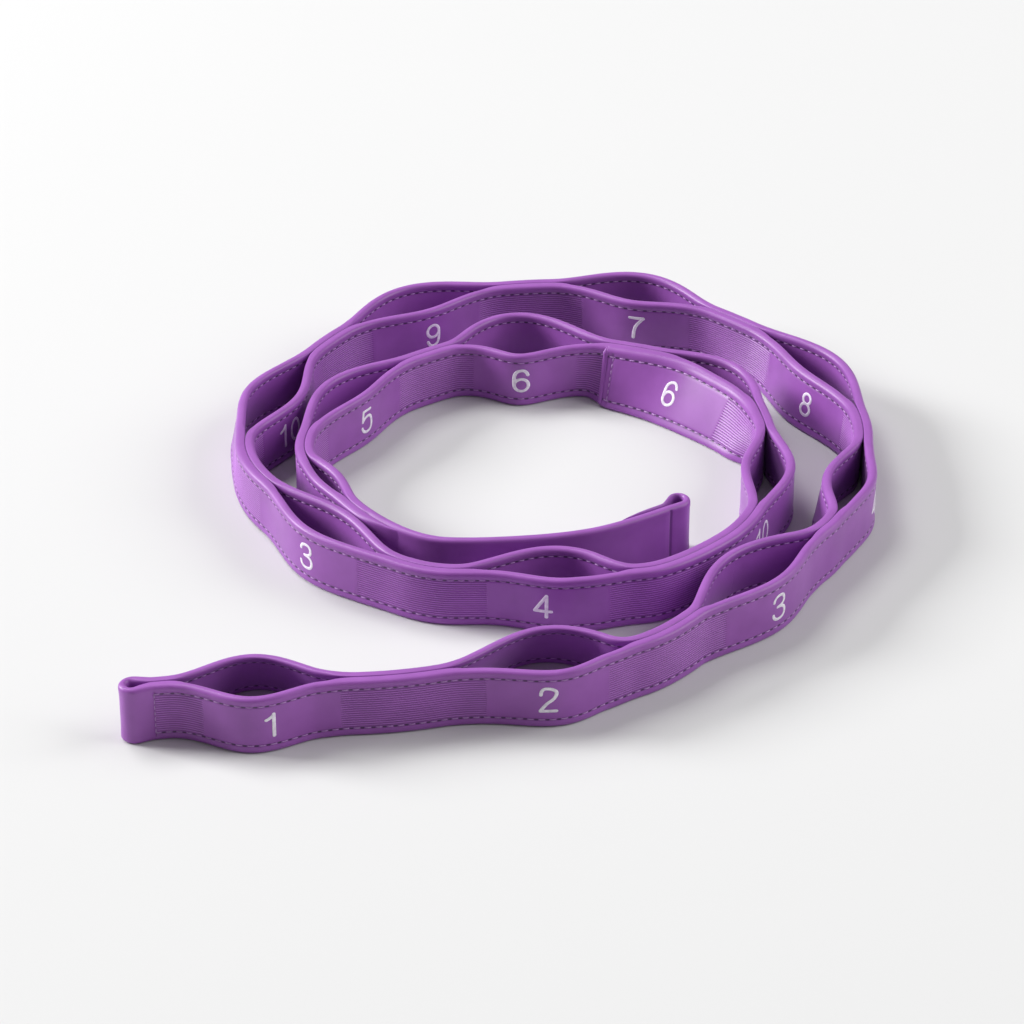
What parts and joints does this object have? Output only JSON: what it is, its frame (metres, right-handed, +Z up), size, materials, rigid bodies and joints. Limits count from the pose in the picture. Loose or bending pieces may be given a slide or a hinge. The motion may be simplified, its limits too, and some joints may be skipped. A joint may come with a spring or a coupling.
{
  "type": "looped stretching strap",
  "caption": "Long flat stretching strap, its padded bands sewn together at intervals to make numbered hand and foot loops, coiled standing on its edge with one end trailing.",
  "frame": {"origin": "on the floor, under the middle of the coiled strap's bounding box", "axes": "+Z up, +Y away from the front where the outer end trails, +X to the right"},
  "size_m": [0.4579, 0.515, 0.038],
  "materials": {
    "strap_fabric": "dense purple strap fabric with rolled smooth edges, fine lengthwise ribs and smooth panels",
    "sewn_fabric": "the same fabric where both bands are stitched into one",
    "thread": "purple sewing thread, in rows along both edges",
    "print": "pale lilac heat-pressed loop numbers"
  },
  "bodies": {
    "coil": {"inner_band_04": "strap_fabric", "inner_band_05": "strap_fabric", "inner_band_06": "strap_fabric", "inner_band_07": "strap_fabric", "inner_band_08": "strap_fabric", "inner_band_09": "strap_fabric", "inner_band_10": "strap_fabric", "inner_band_11": "strap_fabric", "inner_band_12": "strap_fabric", "inner_band_13": "strap_fabric", "inner_band_14": "strap_fabric", "inner_band_15": "strap_fabric", "outer_band_04": "strap_fabric", "outer_band_05": "strap_fabric", "outer_band_06": "strap_fabric", "outer_band_07": "strap_fabric", "outer_band_08": "strap_fabric", "outer_band_09": "strap_fabric", "outer_band_10": "strap_fabric", "outer_band_11": "strap_fabric", "outer_band_12": "strap_fabric", "outer_band_13": "strap_fabric", "outer_band_14": "strap_fabric", "outer_band_15": "strap_fabric", "sewn_join_03": "sewn_fabric", "sewn_join_04": "sewn_fabric", "sewn_join_05": "sewn_fabric", "sewn_join_06": "sewn_fabric", "sewn_join_07": "sewn_fabric", "sewn_join_08": "sewn_fabric", "sewn_join_09": "sewn_fabric", "sewn_join_10": "sewn_fabric", "sewn_join_11": "sewn_fabric", "sewn_join_12": "sewn_fabric", "sewn_join_13": "sewn_fabric", "sewn_join_14": "sewn_fabric", "sewn_join_15": "sewn_fabric", "splice_lap": "strap_fabric"},
    "third_loop": {"inner_band_03": "strap_fabric", "outer_band_03": "strap_fabric", "sewn_edge_03": "sewn_fabric", "sewn_join_02": "sewn_fabric"},
    "second_loop": {"inner_band_02": "strap_fabric", "outer_band_02": "strap_fabric", "sewn_edge_02": "sewn_fabric", "sewn_join_01": "sewn_fabric"},
    "end_loop": {"inner_band_01": "strap_fabric", "outer_band_01": "strap_fabric", "outer_end_eyelet": "strap_fabric", "sewn_edge_01": "sewn_fabric", "sewn_join_00": "sewn_fabric"},
    "plain_end": {"inner_end_eyelet": "strap_fabric", "plain_tail": "strap_fabric", "turned_back_tail_end": "strap_fabric"}
  },
  "joints": [
    {"name": "third_loop_bend", "type": "hinge", "parent": "coil", "child": "third_loop", "pos_m": [0.19425, -0.06187, 0.019], "axis": [0, 0, 1], "range_deg": [0, 60]},
    {"name": "second_loop_bend", "type": "hinge", "parent": "third_loop", "child": "second_loop", "pos_m": [0.08375, -0.18738, 0.019], "axis": [0, 0, 1], "range_deg": [-10, 60]},
    {"name": "end_loop_bend", "type": "hinge", "parent": "second_loop", "child": "end_loop", "pos_m": [-0.06738, -0.23025, 0.019], "axis": [0, 0, 1], "range_deg": [-35, 60]},
    {"name": "plain_end_bend", "type": "hinge", "parent": "coil", "child": "plain_end", "pos_m": [-0.09475, -0.04925, 0.019], "axis": [0, 0, 1], "range_deg": [0, 45]}
  ]
}
